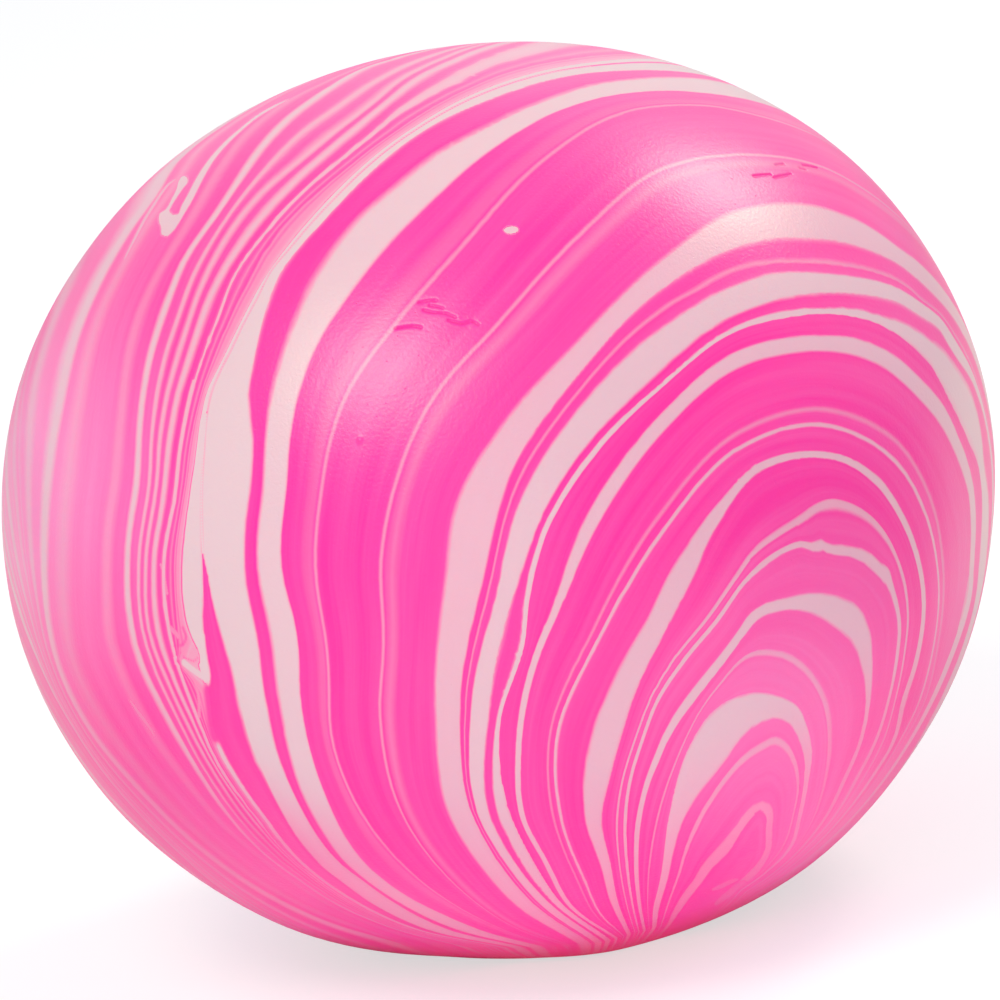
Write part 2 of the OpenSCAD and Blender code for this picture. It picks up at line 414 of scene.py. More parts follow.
        (682.5, 659), (656, 699.5), (640.5, 740), (628.5, 780), (623.5, 820), (626, 870), (632.5, 910),
        (638.3, 932.2)]),
    "arch_5_inner": (813, [
        (747.2, 893), (772.9, 876), (807.4, 846), (833.5, 816), (856.5, 776), (876, 737), (887.5, 700),
        (896, 655), (897.5, 620), (892, 597), (887.5, 586), (882, 581), (876, 574), (868, 566),
        (860, 560), (852, 557), (828, 552), (822, 549.5), (816, 552), (810, 550), (804, 547.5),
        (780, 555), (766, 565), (748, 581), (718.5, 621.5), (685.5, 661.5), (659, 701), (643.5, 741),
        (631.5, 781), (627, 820), (629, 870), (634.7, 910), (639.7, 931.8)]),
    "arch_6_outer": (854, [
        (746, 892.5), (771.5, 875.5), (805, 845.5), (828, 815.5), (847, 778), (862.5, 740), (870, 700),
        (872, 660), (869, 628), (858, 607), (838, 596), (812, 593), (785, 599), (768, 603), (752, 612),
        (736, 634), (718, 658), (700, 680), (686, 698), (673, 717), (661, 739), (652, 762),
        (645.5, 780), (636, 820), (634, 870), (638.5, 910), (643, 931)]),
    "arch_6_inner": (870, [
        (744.8, 892), (770, 875), (803, 845), (825.5, 815), (843.5, 778), (859.5, 740), (866, 700),
        (862, 665), (853, 643), (832, 625), (815, 614), (800, 610), (775, 611.5), (760, 617.5),
        (744, 636.5), (726, 661), (708, 684), (694, 702), (680, 721), (667, 743), (657.5, 764),
        (650.5, 781), (641, 820), (638.5, 870), (642, 910), (646, 930)]),
    "arch_7": (913, [
        (742.8, 891.5), (767.5, 874.5), (798, 844.5), (814.5, 815), (825, 780), (829, 740),
        (823.5, 700), (815, 683), (785, 656), (755, 653), (715, 690), (675, 765), (655, 830),
        (648, 880), (648, 915), (649, 929)]),
    "arch_8_outer": (956, [
        (740.8, 891), (765, 874), (794, 843.5), (800.5, 820), (808.5, 780), (812, 752), (808, 730),
        (797, 706), (780, 697), (745, 694), (712, 712), (690, 745), (668, 820), (660, 880), (653, 910),
        (652, 928)]),
    "arch_8_inner": (977, [
        (739.8, 890.5), (763.5, 873.5), (791, 843), (797.5, 818), (804, 780), (805, 765), (799, 740),
        (788, 722), (776, 718), (758, 724), (722, 765), (682, 822), (667, 880), (659, 908), (656, 927)]),
    "arch_9": (1000, [
        (738, 890), (760.5, 873), (785, 842), (793.5, 815), (798.5, 782), (795, 762), (787, 747),
        (777, 740), (758, 748), (710, 800), (690, 840), (677, 880), (667, 908), (661, 926)]),
    "arch_10_outer": (1056, [
        (736, 890.5), (757, 874), (771, 850), (772.5, 830), (773, 812), (770.5, 805), (765, 801.5),
        (757, 803), (749, 809), (741, 818), (733, 829), (726, 838), (717, 848), (708, 858), (700, 868),
        (694, 879), (687, 888), (679, 900), (667, 924)]),
    "arch_10_inner": (1066, [
        (731, 888), (748, 873), (764, 852), (765.5, 830), (766, 818), (763.5, 813), (759.5, 812),
        (754, 816), (748, 823), (742, 831), (736, 841), (729, 852), (720, 861), (711, 870), (704, 880),
        (696, 890), (687, 902), (672, 923)]),
    "arch_11": (1110, [
        (735, 885), (746, 872), (755, 856), (758, 840), (757, 827), (752, 834), (744, 847), (734, 862),
        (722, 876), (708, 893), (692, 910), (680, 921)]),
}
line_step_px = 3

# Behind the ball the lines run down to the stopper, and a second, smaller nest lies at the back left
first_arch = 585
nest_bearing = radians(52)
far_nest_bearing = radians(-106)
far_nest_width = 0.75
far_nest_height = 0.85
far_nest_level = -10
far_nest_fall = 0.9
turn_back_bearing = radians(78)
over_crown_level = 146
line_end = radians(178)
last_leg_level = 548
last_leg_bearing = radians(78)
leg_spread = radians(0.255)
leg_pull = 0.8
leg_steps = 60
foot_steps = 12
way_steps = 8
relief_weld = 1e-5
level_size = 0.001


def curve(start, start_slope, end, end_slope, u):
    """A smooth curve between two points with a slope at each, at shares u of the way."""
    first = (1 + 2 * u) * (1 - u) ** 2 * start + u * (1 - u) ** 2 * start_slope
    return first + u ** 2 * (3 - 2 * u) * end + u ** 2 * (u - 1) * end_slope


def smooth_line(points):
    """Photograph points along a smooth line through the given ones, a few pixels apart."""
    points = np.array(points, float)
    run = np.concatenate([[0], np.cumsum(np.linalg.norm(np.diff(points, axis=0), axis=1))])
    slope = np.gradient(points, run, axis=0)
    at = np.linspace(0, run[-1], int(run[-1] / line_step_px) + 2)
    k = np.clip(np.searchsorted(run, at, side="right") - 1, 0, len(run) - 2)
    span = (run[k + 1] - run[k])[:, None]
    u = (at - run[k])[:, None] / span
    return curve(points[k], span * slope[k], points[k + 1], span * slope[k + 1], u)


def bearings(place):
    """Angle from the crown and bearing from the viewer of a place on the skin, on the ball made round."""
    half = ball_h - belly_h if place.z > belly_h else belly_h
    fall = atan2(hypot(place.x, place.y) / belly_r, (place.z - belly_h) / half)
    return fall, atan2(place.x, -place.y)


def flat(fall, bearing):
    """A place of the skin on the flattened ball, with the crown in the middle."""
    return fall * sin(bearing), -fall * cos(bearing)


def whole_line(level, pixels):
    """A streak line from the stopper, up the front, over the edge and down behind to the stopper."""
    seen = [bearings(place) for place in map(on_skin, smooth_line(pixels)[::-1]) if place]
    fall = np.array([pair[0] for pair in seen])
    bearing = np.unwrap(np.array([pair[1] for pair in seen]))
    if level > over_crown_level and level < first_arch and bearing.max() > turn_back_bearing:
        stop = np.argmax(bearing > turn_back_bearing)
        fall, bearing = fall[:stop], bearing[:stop]
    edge = np.array(flat(fall[-1], bearing[-1]))
    leg = bearing[-1]
    way = np.array(flat(1, leg))
    if level <= last_leg_level:
        leg = last_leg_bearing + (last_leg_level - level) * leg_spread
        way = edge - np.array(flat(fall[-way_steps], bearing[-way_steps]))
    foot = np.array(flat(line_end, leg))
    pull = leg_pull * np.linalg.norm(foot - edge)
    share = np.linspace(0, 1, leg_steps)[1:, None]
    far = curve(edge, pull * way / np.linalg.norm(way), foot, pull * foot / line_end, share)
    near_fall = np.linspace(line_end, fall[0], foot_steps, endpoint=False)
    near_bearing = np.full(foot_steps, bearing[0])
    return (np.concatenate([near_fall, fall, np.hypot(far[:, 0], far[:, 1])]),
            np.unwrap(np.concatenate([near_bearing, bearing, np.arctan2(far[:, 0], -far[:, 1])])))


relief = []
relief_ties = []


def lay_line(points, level, closed=False):
    """Adds a line of one height to the relief, each point tied to the next."""
    first = len(relief)
    relief.extend((*point, level) for point in points)
    relief_ties.extend((index, index + 1) for index in range(first, len(relief) - 1))
    if closed:
        relief_ties.append((len(relief) - 1, first))


def relief_surface():
    """The relief as a surface over the flattened ball, folded along its lines."""
    spots, _, triangles, origins, _, _ = delaunay_2d_cdt(
        [Vector(point[:2]) for point in relief], relief_ties, [], 0, relief_weld)
    heights = [relief[origin[0]][2] if origin else None for origin in origins]
    beside = {index: [] for index, height in enumerate(heights) if height is None}
    for corners in triangles:
        for index in corners:
            if index in beside:
                beside[index] += [heights[other] for other in corners if heights[other] is not None]
    for index, found in beside.items():
        heights[index] = sum(found) / len(found) if found else 0
    return BVHTree.FromPolygons(
        [(spot.x, spot.y, height * level_size) for spot, height in zip(spots, heights)], triangles)


def far_level(level):
    """The height in the far nest of a line with this height in the near one."""
    return far_nest_level - (level - first_arch) * far_nest_fall


def evenly(fall, bearing):
    """A line's fall and bearing at even steps along it on the flattened ball."""
    across, along = fall * np.sin(bearing), fall * np.cos(bearing)
    run = np.concatenate([[0], np.cumsum(np.hypot(np.diff(across), np.diff(along)))])
    at = np.linspace(0, run[-1], between_steps)
    return np.stack([np.interp(at, run, fall), np.interp(at, run, bearing)])


# The arches come again in the far nest, and blended lines fill the space between it and the rim
between_steps = 90
between_shares = (0.2, 0.4, 0.6, 0.8)
for name, (level, pixels) in streak_lines.items():
    fall, bearing = whole_line(level, pixels)
    lay_line([flat(f, b) for f, b in zip(fall, bearing)], level)
    if name == "rim":
        rim_level = level
        rim_line = evenly(fall, bearing)
    if level >= first_arch:
        back_fall = line_end - (line_end - fall) * far_nest_height
        back_bearing = far_nest_bearing - far_nest_width * (bearing - nest_bearing)
        lay_line([flat(f, b) for f, b in zip(back_fall, back_bearing)], far_level(level))
        if level == first_arch:
            nest_line = evenly(back_fall, back_bearing)
for share in between_shares:
    fall, bearing = rim_line + share * (nest_line - rim_line)
    lay_line([flat(f, b) for f, b in zip(fall, bearing)], rim_level + share * (far_nest_level - rim_level))
relief_tree = relief_surface()
relief_margin = 0.02
relief_above = 10


def streak_level(place):
    """Height of the relief at a place on the skin."""
    fall, bearing = bearings(place)
    above = Vector((*flat(min(fall, line_end - relief_margin), bearing), relief_above))
    found = relief_tree.ray_cast(above, Vector((0, 0, -1)))[0]
    return found.z / level_size if found else 0


# Drops of pale rubber that lie apart from the streaks are plateaus: outlines, and strokes with their width
drops = {
    "hook": ("strong", [
        (290, 98.5), (275, 105), (257, 115.2), (240, 128.5), (223.5, 143), (210, 158), (197, 177),
        (187, 196), (181, 207), (178, 214), (174, 214.5), (169.5, 211), (171.5, 206), (177, 197),
        (183, 188), (188, 181), (187, 176.5), (183.5, 175.5), (179, 180), (176, 190), (171, 200),
        (165, 210), (160, 213), (158.5, 221), (161, 228), (161.5, 235), (166, 236.5), (172, 232),
        (178, 224), (184, 214), (192.5, 199.5), (202, 180.5), (213.5, 160.8), (226, 145.5),
        (241.2, 130.8), (258, 117), (275.8, 106.4)]),
    "oval_dot": ("strong", [(503, 230), (507, 226.8), (512, 226), (517, 227.2), (519, 230), (515, 233.2),
                            (510, 234), (505.5, 233)]),
}
strokes = {
    "hook_trail": ("clear", 2.5, [
        (176, 179), (170, 183), (163, 191), (155, 203), (145, 219), (135, 238), (124, 260)]),
    "loop_end": ("faint", 3.5, [(130, 700), (138, 712), (147, 724), (153, 733), (155, 737)]),
    "curl_high": ("faint", 4, [(738, 879), (730, 882), (722, 886), (712, 890)]),
    "curl_low": ("faint", 6, [(745, 882), (738, 886), (730, 893), (722, 899), (715, 905)]),
}
drop_levels = {"strong": 1300, "clear": 1350, "faint": 1400}
drop_edge_px = 0.8
stroke_tip = 0.15
stroke_bluntness = 0.5


def stroke_outline(points, width):
    """The outline of a brush stroke that tapers at both ends."""
    line = smooth_line(points)
    run = np.gradient(line, axis=0)
    side = np.stack([-run[:, 1], run[:, 0]], 1) / np.linalg.norm(run, axis=1)[:, None]
    half = width / 2 * np.sin(np.linspace(stroke_tip, pi - stroke_tip, len(line))) ** stroke_bluntness
    return np.concatenate([line + side * half[:, None], (line - side * half[:, None])[::-1]])


def widened(outline, edge):
    """A closed outline, moved outwards by an edge."""
    run = np.roll(outline, -1, axis=0) - np.roll(outline, 1, axis=0)
    side = np.stack([run[:, 1], -run[:, 0]], 1) / np.linalg.norm(run, axis=1)[:, None]
    after = np.roll(outline, -1, axis=0)
    area = np.sum(outline[:, 0] * after[:, 1] - after[:, 0] * outline[:, 1])
    return outline + side * edge * np.sign(area)


def enclosed(points, ring):
    """Which points lie inside a closed ring on the flattened ball."""
    x, y = points[:, :1], points[:, 1:2]
    after = np.roll(ring, -1, axis=0)
    passes = (ring[:, 1] > y) != (after[:, 1] > y)
    rise = after[:, 1] - ring[:, 1]
    at = ring[:, 0] + (y - ring[:, 1]) * (after[:, 0] - ring[:, 0]) / np.where(rise == 0, 1, rise)
    return np.sum(passes & (x < at), axis=1) % 2 == 1


fine_places = []
drop_rings = []
outlines = [(kind, smooth_line(points + points[:1])[:-1]) for kind, points in drops.values()]
outlines += [(kind, stroke_outline(points, width)) for kind, width, points in strokes.values()]
covered = np.zeros(len(relief), bool)
for kind, outline in outlines:
    inner = [on_skin(pixel) for pixel in outline]
    outer = [on_skin(pixel) for pixel in widened(outline, drop_edge_px)]
    fine_places += inner
    ring = [flat(*bearings(place)) for place in outer]
    covered |= enclosed(np.array(relief), np.array(ring))
    inner_ring = [flat(*bearings(place)) for place in inner]
    around_it = [streak_level(place) for place in outer]
    drop_rings.append((kind, inner_ring, ring, around_it))
kept = np.flatnonzero(~covered)
renumbered = {old: new for new, old in enumerate(kept)}
relief_ties = [(renumbered[a], renumbered[b]) for a, b in relief_ties if a in renumbered and b in renumbered]
relief = [relief[index] for index in kept]
for kind, inner, ring, around_it in drop_rings:
    lay_line(inner, drop_levels[kind], closed=True)
    first = len(relief)
    lay_line(ring, 0, closed=True)
    relief[first:] = [(*point, height) for point, height in zip(ring, around_it)]
relief_tree = relief_surface()

# Creases: the stretched skin has short wrinkles on the upper left and near the right shoulder
creases = {
    "left_1": [(419, 302), (427, 300.5), (436, 300)],
    "left_2": [(430, 305), (436, 306), (443, 308)],
    "left_3": [(424, 310), (432, 312), (447, 313.5), (455, 317)],
    "left_4": [(449, 320), (465, 323), (471, 321), (478, 324)],
    "left_5": [(396, 328), (415, 326), (421, 327)],
    "right_1": [(754, 176), (762, 175), (771, 174.5)],
    "right_2": [(774, 177.5), (782, 176), (791, 174)],
    "right_3": [(776, 165), (780, 164.3), (784, 164)],
    "right_4": [(800, 168), (803, 169), (806, 170)],
    "right_5": [(803, 165), (810, 166), (818, 168)],
}
crease_w = 0.0001
crease_d = 0.00008
crease_shade = 0.28
bead_px = (360, 440)
bead_h = 0.0001
bead_reach = 0.0003
crease_parts = []
for points in creases.values():
    places = [on_skin(pixel) for pixel in smooth_line(points)]
    fine_places += places
    crease_parts += [(np.array(a), np.array(b)) for a, b in zip(places, places[1:])]
fine_places.append(on_skin(bead_px))

# Brushed marks: strength, half width and course of soft pale marks, and of pink ones through a pale streak
pale_marks = {
    "cleft_end": (0.95, 2.5, [(206, 415), (203, 450), (201.4, 490), (201.7, 530), (203, 552)]),
    "cleft_line": (0.72, 2.2, [
        (590, 66.5), (540, 74.6), (500, 86.6), (460, 103.6), (420, 126.6), (380, 155), (360, 172.6),
        (333.6, 199.5), (310.6, 224), (290.6, 247.5), (270.6, 271.8), (257.6, 297.3), (243.6, 323.2),
        (230.6, 350.2), (219.6, 371.7), (211.4, 391.1), (206.6, 410)]),
    "squiggle_high": (0.35, 2.5, [(161, 565), (164, 575), (165.5, 585), (167, 593)]),
    "squiggle_low": (0.35, 4, [(169, 627), (173.5, 631), (178, 636)]),
    "curl_haze": (0.38, 7, [(184, 651), (190, 653), (195, 656)]),
    "lobe_finger": (0.92, 6, [
        (184.5, 663), (188, 666), (192, 669), (196, 672), (200, 674.8), (204.5, 677.5)]),
    "low_haze": (0.35, 3, [(190, 672), (196, 685), (199, 700), (199, 716)]),
}
pink_marks = {
    "notch_line": (0.6, 2.2, [(184, 657.5), (189, 659.5), (194, 661), (197.5, 658)]),
    "lobe_end": (1, 9, [(208.3, 689), (210, 703), (213.3, 730), (215.5, 739)]),
    "curl_line": (0.7, 3, [(183, 628), (186, 638), (182, 645), (175, 646)]),
}
pale_brushed = []
pink_brushed = []
for marks, brushed in ((pale_marks, pale_brushed), (pink_marks, pink_brushed)):
    for most, half_px, points in marks.values():
        places = [on_skin(pixel) for pixel in smooth_line(points)]
        fine_places += places
        brushed += [(place, most, half_px * px_size) for place in places]
fine_tree = KDTree(len(fine_places))
for index, place in enumerate(fine_places):
    fine_tree.insert(place, index)
fine_tree.balance()


def refine(limit, reach):
    """Subdivides the outer faces on which the relief bends, and those near drops and creases."""
    levels = [streak_level(vertex.co) for vertex in skin.data.vertices]
    for face in skin.data.polygons:
        outer = face.normal.dot(face.center - belly_middle) > 0
        mean = sum(levels[index] for index in face.vertices) / len(face.vertices)
        bends = outer and abs(streak_level(face.center) - mean) > limit
        face.select = bends or (outer and fine_tree.find(face.center)[2] < reach)
    bpy.ops.object.mode_set(mode="EDIT")
    bpy.ops.mesh.subdivide()
    bpy.ops.mesh.select_all(action="DESELECT")
    bpy.ops.object.mode_set(mode="OBJECT")


bpy.ops.object.mode_set(mode="EDIT")
bpy.ops.mesh.select_mode(type="FACE")
bpy.ops.mesh.select_all(action="DESELECT")
bpy.ops.object.mode_set(mode="OBJECT")

# Each pass has the bend of the relief that it leaves alone, and how far it reaches from a drop or crease
refine_passes = ((0.8, 0.0012), (0.8, 0.0007), (1.2, 0.0004), (12, 0.0002))
for bend_limit, fine_reach in refine_passes:
    refine(bend_limit, fine_reach)

# Each four-sided face is split along the streaks, so that their edges run smooth
levels = [streak_level(vertex.co) for vertex in skin.data.vertices]
for method in ("FIXED", "FIXED_ALTERNATE"):
    for face in skin.data.polygons:
        corners = [levels[index] for index in face.vertices]
        along = len(corners) == 4 and abs(corners[0] - corners[2]) <= abs(corners[1] - corners[3])
        face.select = len(corners) > 3 and (along or method == "FIXED_ALTERNATE")
    bpy.ops.object.mode_set(mode="EDIT")
    bpy.ops.mesh.quads_convert_to_tris(quad_method=method, ngon_method="BEAUTY")
    bpy.ops.mesh.select_mode(type="VERT" if method == "FIXED_ALTERNATE" else "FACE")
    bpy.ops.object.mode_set(mode="OBJECT")

# The relief's heights are painted on the mesh. The pale rubber is thinner low down and at both lower sides
thin_low = 0.002
thin_high = 0.019
thin_least = 0.42
thin_spots = {
    "lower_right": ((830, 800), 0.55, 0.016),
    "lower_left": ((130, 790), 0.6, 0.018),
    "under_left": ((290, 868), 0.55, 0.012),
}
skin_places = np.array([vertex.co for vertex in skin.data.vertices])


def nearness(place, reach):
    """How near each point of the skin's mesh is to a place: 1 there and 0 past the reach."""
    gap = np.sum((skin_places - np.array(place)) ** 2, axis=1)
    return np.maximum(0, 1 - gap / reach ** 2) ** 2


def paint(name, values):
    """Keeps one value for each point of the skin's mesh under a name."""
    layer = skin.data.attributes.new(name, "FLOAT", "POINT")
    layer.data.foreach_set("value", values)


paint("streak", levels)
thick_share = np.clip((skin_places[:, 2] - thin_low) / (thin_high - thin_low), 0, 1)
pale_share = thin_least + (1 - thin_least) * thick_share
for pixel, most, reach in thin_spots.values():
    pale_share *= 1 - most * nearness(on_skin(pixel), reach)
for place, most, reach in pink_brushed:
    pale_share *= 1 - most * nearness(place, reach)
paint("pale_share", pale_share)
mark_fullness = 2
pale_least = np.zeros(len(skin_places))
for place, most, reach in pale_brushed:
    pale_least = np.maximum(pale_least, most * np.minimum(1, mark_fullness * nearness(place, reach)))
paint("pale_least", pale_least)

# The creases are pressed in, and a small bead stands out on the left
shaped = skin_places.copy()
outward = np.array([vertex.normal for vertex in skin.data.vertices])
gap = np.full(len(shaped), 1.0)
for start, end in crease_parts:
    along = np.clip((shaped - start) @ (end - start) / ((end - start) @ (end - start)), 0, 1)
    gap = np.minimum(gap, np.linalg.norm(shaped - start - along[:, None] * (end - start), axis=1))
outer = np.sum(outward * (shaped - np.array(belly_middle)), axis=1) > 0
pressed = outer * np.exp(-(gap / crease_w) ** 2)
raised = bead_h * outer * nearness(on_skin(bead_px), bead_reach)
shaped += outward * (raised - crease_d * pressed)[:, None]

# The pink is painted lighter in spots: painted rim light at the far left, the left edge, the crown and the
# right edge, and lighter in the nest, at the lower right and in patches behind; it is painted darker in the
# creases, as painted shade.
rim_light_and_tone_spots = {
    "far_left": (on_skin((40, 490)), 0.9, 0.018),
    "left_edge": (on_skin((9, 500)), 0.5, 0.010),
    "crown": (on_skin((560, 75)), 0.25, 0.013),
    "nest": (on_skin((780, 700)), 0.45, 0.015),
    "right_edge": (on_skin((965, 570)), 0.2, 0.010),
    "lower_right": (on_skin((820, 840)), 0.45, 0.012),
    "behind_left": (Vector((-0.024, 0.020, 0.034)), 0.5, 0.016),
    "behind_right": (Vector((0.020, 0.026, 0.024)), 0.4, 0.018),
}
pink_light_share = sum(most * nearness(spot, reach) for spot, most, reach in rim_light_and_tone_spots.values())
# Painted shade: the creases darken the pink
paint("pink_light", pink_light_share - crease_shade * pressed)
skin.data.vertices.foreach_set("co", shaped.ravel())
skin.data.update()

# Flat map for the baked picture: the front half above, the back half below it, the inside in a narrow strip
strip_overlap = 1.03
strips = {"front": (0.52, 1.0), "back": (0.04, 0.51), "inside": (0.0, 0.03)}
corners = np.empty(len(skin.data.loops), int)
skin.data.loops.foreach_get("vertex_index", corners)
face_sizes = np.array([len(face.vertices) for face in skin.data.polygons])
middles = np.array([face.center for face in skin.data.polygons])
ways = np.array([face.normal for face in skin.data.polygons])
inside = np.sum(ways * (middles - np.array(belly_middle)), axis=1) < 0
front = np.abs(np.arctan2(middles[:, 0], -middles[:, 1])) < pi / 2
low = np.where(inside, strips["inside"][0], np.where(front, strips["front"][0], strips["back"][0]))
high = np.where(inside, strips["inside"][1], np.where(front, strips["front"][1], strips["back"][1]))
strip_bearing = np.where(front, 0, pi)
places = skin_places[corners]
face_of = np.repeat(np.arange(len(face_sizes)), face_sizes)
pole = np.hypot(places[:, 0], places[:, 1]) < tiny
places = np.where(pole[:, None], middles[face_of], places)
turned = np.arctan2(places[:, 0], -places[:, 1]) - strip_bearing[face_of]
turned = (turned + pi) % (2 * pi) - pi
rise = np.array([1 - bearings(vertex.co)[0] / pi for vertex in skin.data.vertices])[corners]
bake_map = skin.data.uv_layers.new(name="OFBake")
bake_u = 0.5 + turned / (pi * strip_overlap)
bake_v = low[face_of] + (high - low)[face_of] * rise
bake_map.data.foreach_set("uv", np.stack([bake_u, bake_v], 1).ravel())

# The rubber's two colours: pale streaks lie between two heights of the relief, with soft or sharp edges.
# Each band has its two heights, the softness of its two edges and its paleness.
pale_bands = [
    (-7, -4.5, 1.2, 1.2, 0.6), (-1.5, -0.7, 0.5, 0.5, 0.5), (2.5, 5.5, 1.5, 2, 0.62),
    (8, 8.8, 0.8, 0.8, 0.36), (11, 13.5, 2, 2, 0.46), (16.3, 17.3, 1, 1, 0.3), (21.5, 27, 3.5, 4, 0.48),
    (39, 49, 6, 6, 0.75), (62, 74, 10, 10, 0.3), (108, 116, 5, 5, 0.25), (127, 132, 3, 3, 0.8),
    (141, 144, 2.5, 2.5, 0.65), (148.5, 151.5, 2.5, 2.5, 0.65), (156, 160, 2.5, 2.5, 0.7),
    (165, 169, 1.5, 1.5, 0.7), (172.5, 174, 1, 1, 0.3), (176.6, 177.6, 0.8, 0.8, 0.5),
    (178.6, 179.8, 0.8, 0.8, 0.62), (180.6, 182.3, 0.8, 1.4, 0.75), (182.6, 196, 1.2, 2, 0.95),
    (214, 247, 3, 2.5, 0.95), (259, 282, 4, 2.5, 0.9), (304, 314, 8, 3, 0.12),
    (316.5, 319.5, 2, 2, 0.38), (382.5, 385.5, 2, 2, 0.42), (391, 401, 8, 8, 0.2),
    (450, 495, 6, 3, 0.76), (503, 505, 1.5, 1.5, 0.4), (513, 540, 3, 3, 0.86),
    (548, 554, 0.8, 0.8, 0.86), (585, 600, 3, 3, 0.78), (653, 657, 3, 3, 0.35), (667, 671, 2, 2, 0.68),
    (700, 717, 3, 3, 0.77), (774, 782, 3, 3, 0.62), (803, 813, 2.5, 2.5, 0.72), (854, 870, 3, 3, 0.78),
    (910, 916, 3, 3, 0.45), (956, 977, 3, 3, 0.84), (997, 1004, 3, 3, 0.6), (1056, 1066, 3, 3, 0.68),
]
drop_half = 10
drop_soft = 4
drop_paleness = {"strong": 0.85, "clear": 0.6, "faint": 0.4}
drop_bands = [
    (height - drop_half, height + drop_half, drop_soft, drop_soft, drop_paleness[kind])
    for kind, height in drop_levels.items()]
back_bands = [
    (far_level(high), far_level(low), high_soft, low_soft, paleness)
    for low, high, low_soft, high_soft, paleness in pale_bands if low >= first_arch]
ramp_span = 250
ramp_bands = 7
ramp_margin = 10
pink_deep = (0.97, 0.008, 0.38, 1)
pink_light = (0.97, 0.22, 0.60, 1)
pale_pink = (0.715, 0.547, 0.66, 1)
# crimson for the painted shade where the skin meets the floor
contact_shade_crimson = (0.80, 0.012, 0.09, 1)

# Places of the sockets of a mix of colours
mix_share, mix_first, mix_second, mix_result = 0, 6, 7, 2


def add_node(tree, kind, inputs=None, **settings):
    """A node with its settings and the values of its unlinked inputs."""
    node = tree.nodes.new(kind)
    for name, value in settings.items():
        setattr(node, name, value)
    for name, value in (inputs or {}).items():
        node.inputs[name].default_value = value
    return node


def new_material(piece, name):
    """A fresh material on a piece, with its node tree, shader and Object coordinates."""
    material = bpy.data.materials.new(name)
    material.use_nodes = True
    piece.data.materials.clear()
    piece.data.materials.append(material)
    tree = material.node_tree
    place = add_node(tree, "ShaderNodeTexCoord")
    return tree, tree.nodes["Principled BSDF"], place.outputs["Object"]


def feed(tree, value, socket):
    """Links a socket to another one, or sets it to a number or colour."""
    if isinstance(value, bpy.types.NodeSocket):
        tree.links.new(value, socket)
    else:
        socket.default_value = value


def math_node(tree, operation, first, second):
    """The result of a sum on two values, each a socket or a number."""
    node = add_node(tree, "ShaderNodeMath", operation=operation)
    feed(tree, first, node.inputs[0])
    feed(tree, second, node.inputs[1])
    return node.outputs[0]


def ranged(tree, value, low, high, first, last):
    """A value carried over from the range low to high to the range first to last."""
    node = add_node(
        tree, "ShaderNodeMapRange", {"From Min": low, "From Max": high, "To Min": first, "To Max": last})
    tree.links.new(value, node.inputs["Value"])
    return node.outputs[0]


def mixed(tree, share, first, second):
    """A colour between two, each a socket or a colour, by the share of the second."""
    node = add_node(tree, "ShaderNodeMix", data_type="RGBA")
    feed(tree, share, node.inputs[mix_share])
    feed(tree, first, node.inputs[mix_first])
    feed(tree, second, node.inputs[mix_second])
    return node.outputs[mix_result]


def noise(tree, place, inputs):
    """A cloudy pattern over the places of a surface."""
    node = add_node(tree, "ShaderNodeTexNoise", inputs)
    tree.links.new(place, node.inputs["Vector"])
    return node.outputs["Fac"]


def bump_out(tree, shader, height, strength, depth):
    """Lets a pattern of heights stand out on a surface."""
    node = add_node(tree, "ShaderNodeBump", {"Strength": strength, "Distance": depth})
    tree.links.new(height, node.inputs["Height"])
    tree.links.new(node.outputs[0], shader.inputs["Normal"])


def painted(tree, name):
    """The values that are painted on a piece's mesh under a name."""
    return add_node(tree, "ShaderNodeAttribute", attribute_name=name).outputs["Fac"]


def band_ramp(tree, level, bands):
    """Paleness of a few neighbouring bands, as a colour ramp over the height of the relief."""
    start = bands[0][0] - bands[0][2]
    factor = math_node(tree, "DIVIDE", math_node(tree, "SUBTRACT", level, start), ramp_span)
    ramp = add_node(tree, "ShaderNodeValToRGB")
    stops = []
    for low, high, low_soft, high_soft, paleness in bands:
        stops += [(low - low_soft / 2, 0), (low + low_soft / 2, paleness),
                  (high - high_soft / 2, paleness), (high + high_soft / 2, 0)]
    elements = ramp.color_ramp.elements
    elements.remove(elements[1])
    for index, (at, paleness) in enumerate(stops):
        stop = elements[0] if index == 0 else elements.new((at - start) / ramp_span)
        stop.position = (at - start) / ramp_span
        stop.color = (paleness, paleness, paleness, 1)
    tree.links.new(factor, ramp.inputs[0])
    return ramp.outputs["Color"]


# The streaks' edges wander a little, and the pink has fine fibres along the flow
ripple_scale = 260
ripple_heights = 1.2
fibre_across = 0.06
fibre_along = 25
fibre_low, fibre_high = 0.3, 0.75
tone_deep, tone_light = -0.05, 0.28
# Heights over the floor and share of the painted crimson shade at the skin's foot
foot_low, foot_high = 0.0004, 0.005
foot_share = 0.85
tree, shader, place = new_material(skin, "marbled_rubber")
ripple = noise(tree, place, {"Scale": ripple_scale, "Detail": 2})
rippled = math_node(tree, "MULTIPLY", math_node(tree, "SUBTRACT", ripple, 0.5), ripple_heights)
level = math_node(tree, "ADD", painted(tree, "streak"), rippled)
groups = []
for band in sorted(back_bands + pale_bands + drop_bands):
    full = not groups or len(groups[-1]) == ramp_bands
    if full or band[1] + band[3] > groups[-1][0][0] + ramp_span - ramp_margin:
        groups.append([])
    groups[-1].append(band)
paleness = 0
for group in groups:
    paleness = math_node(tree, "MAXIMUM", paleness, band_ramp(tree, level, group))
paleness = math_node(tree, "MULTIPLY", paleness, painted(tree, "pale_share"))
paleness = math_node(tree, "MAXIMUM", paleness, painted(tree, "pale_least"))

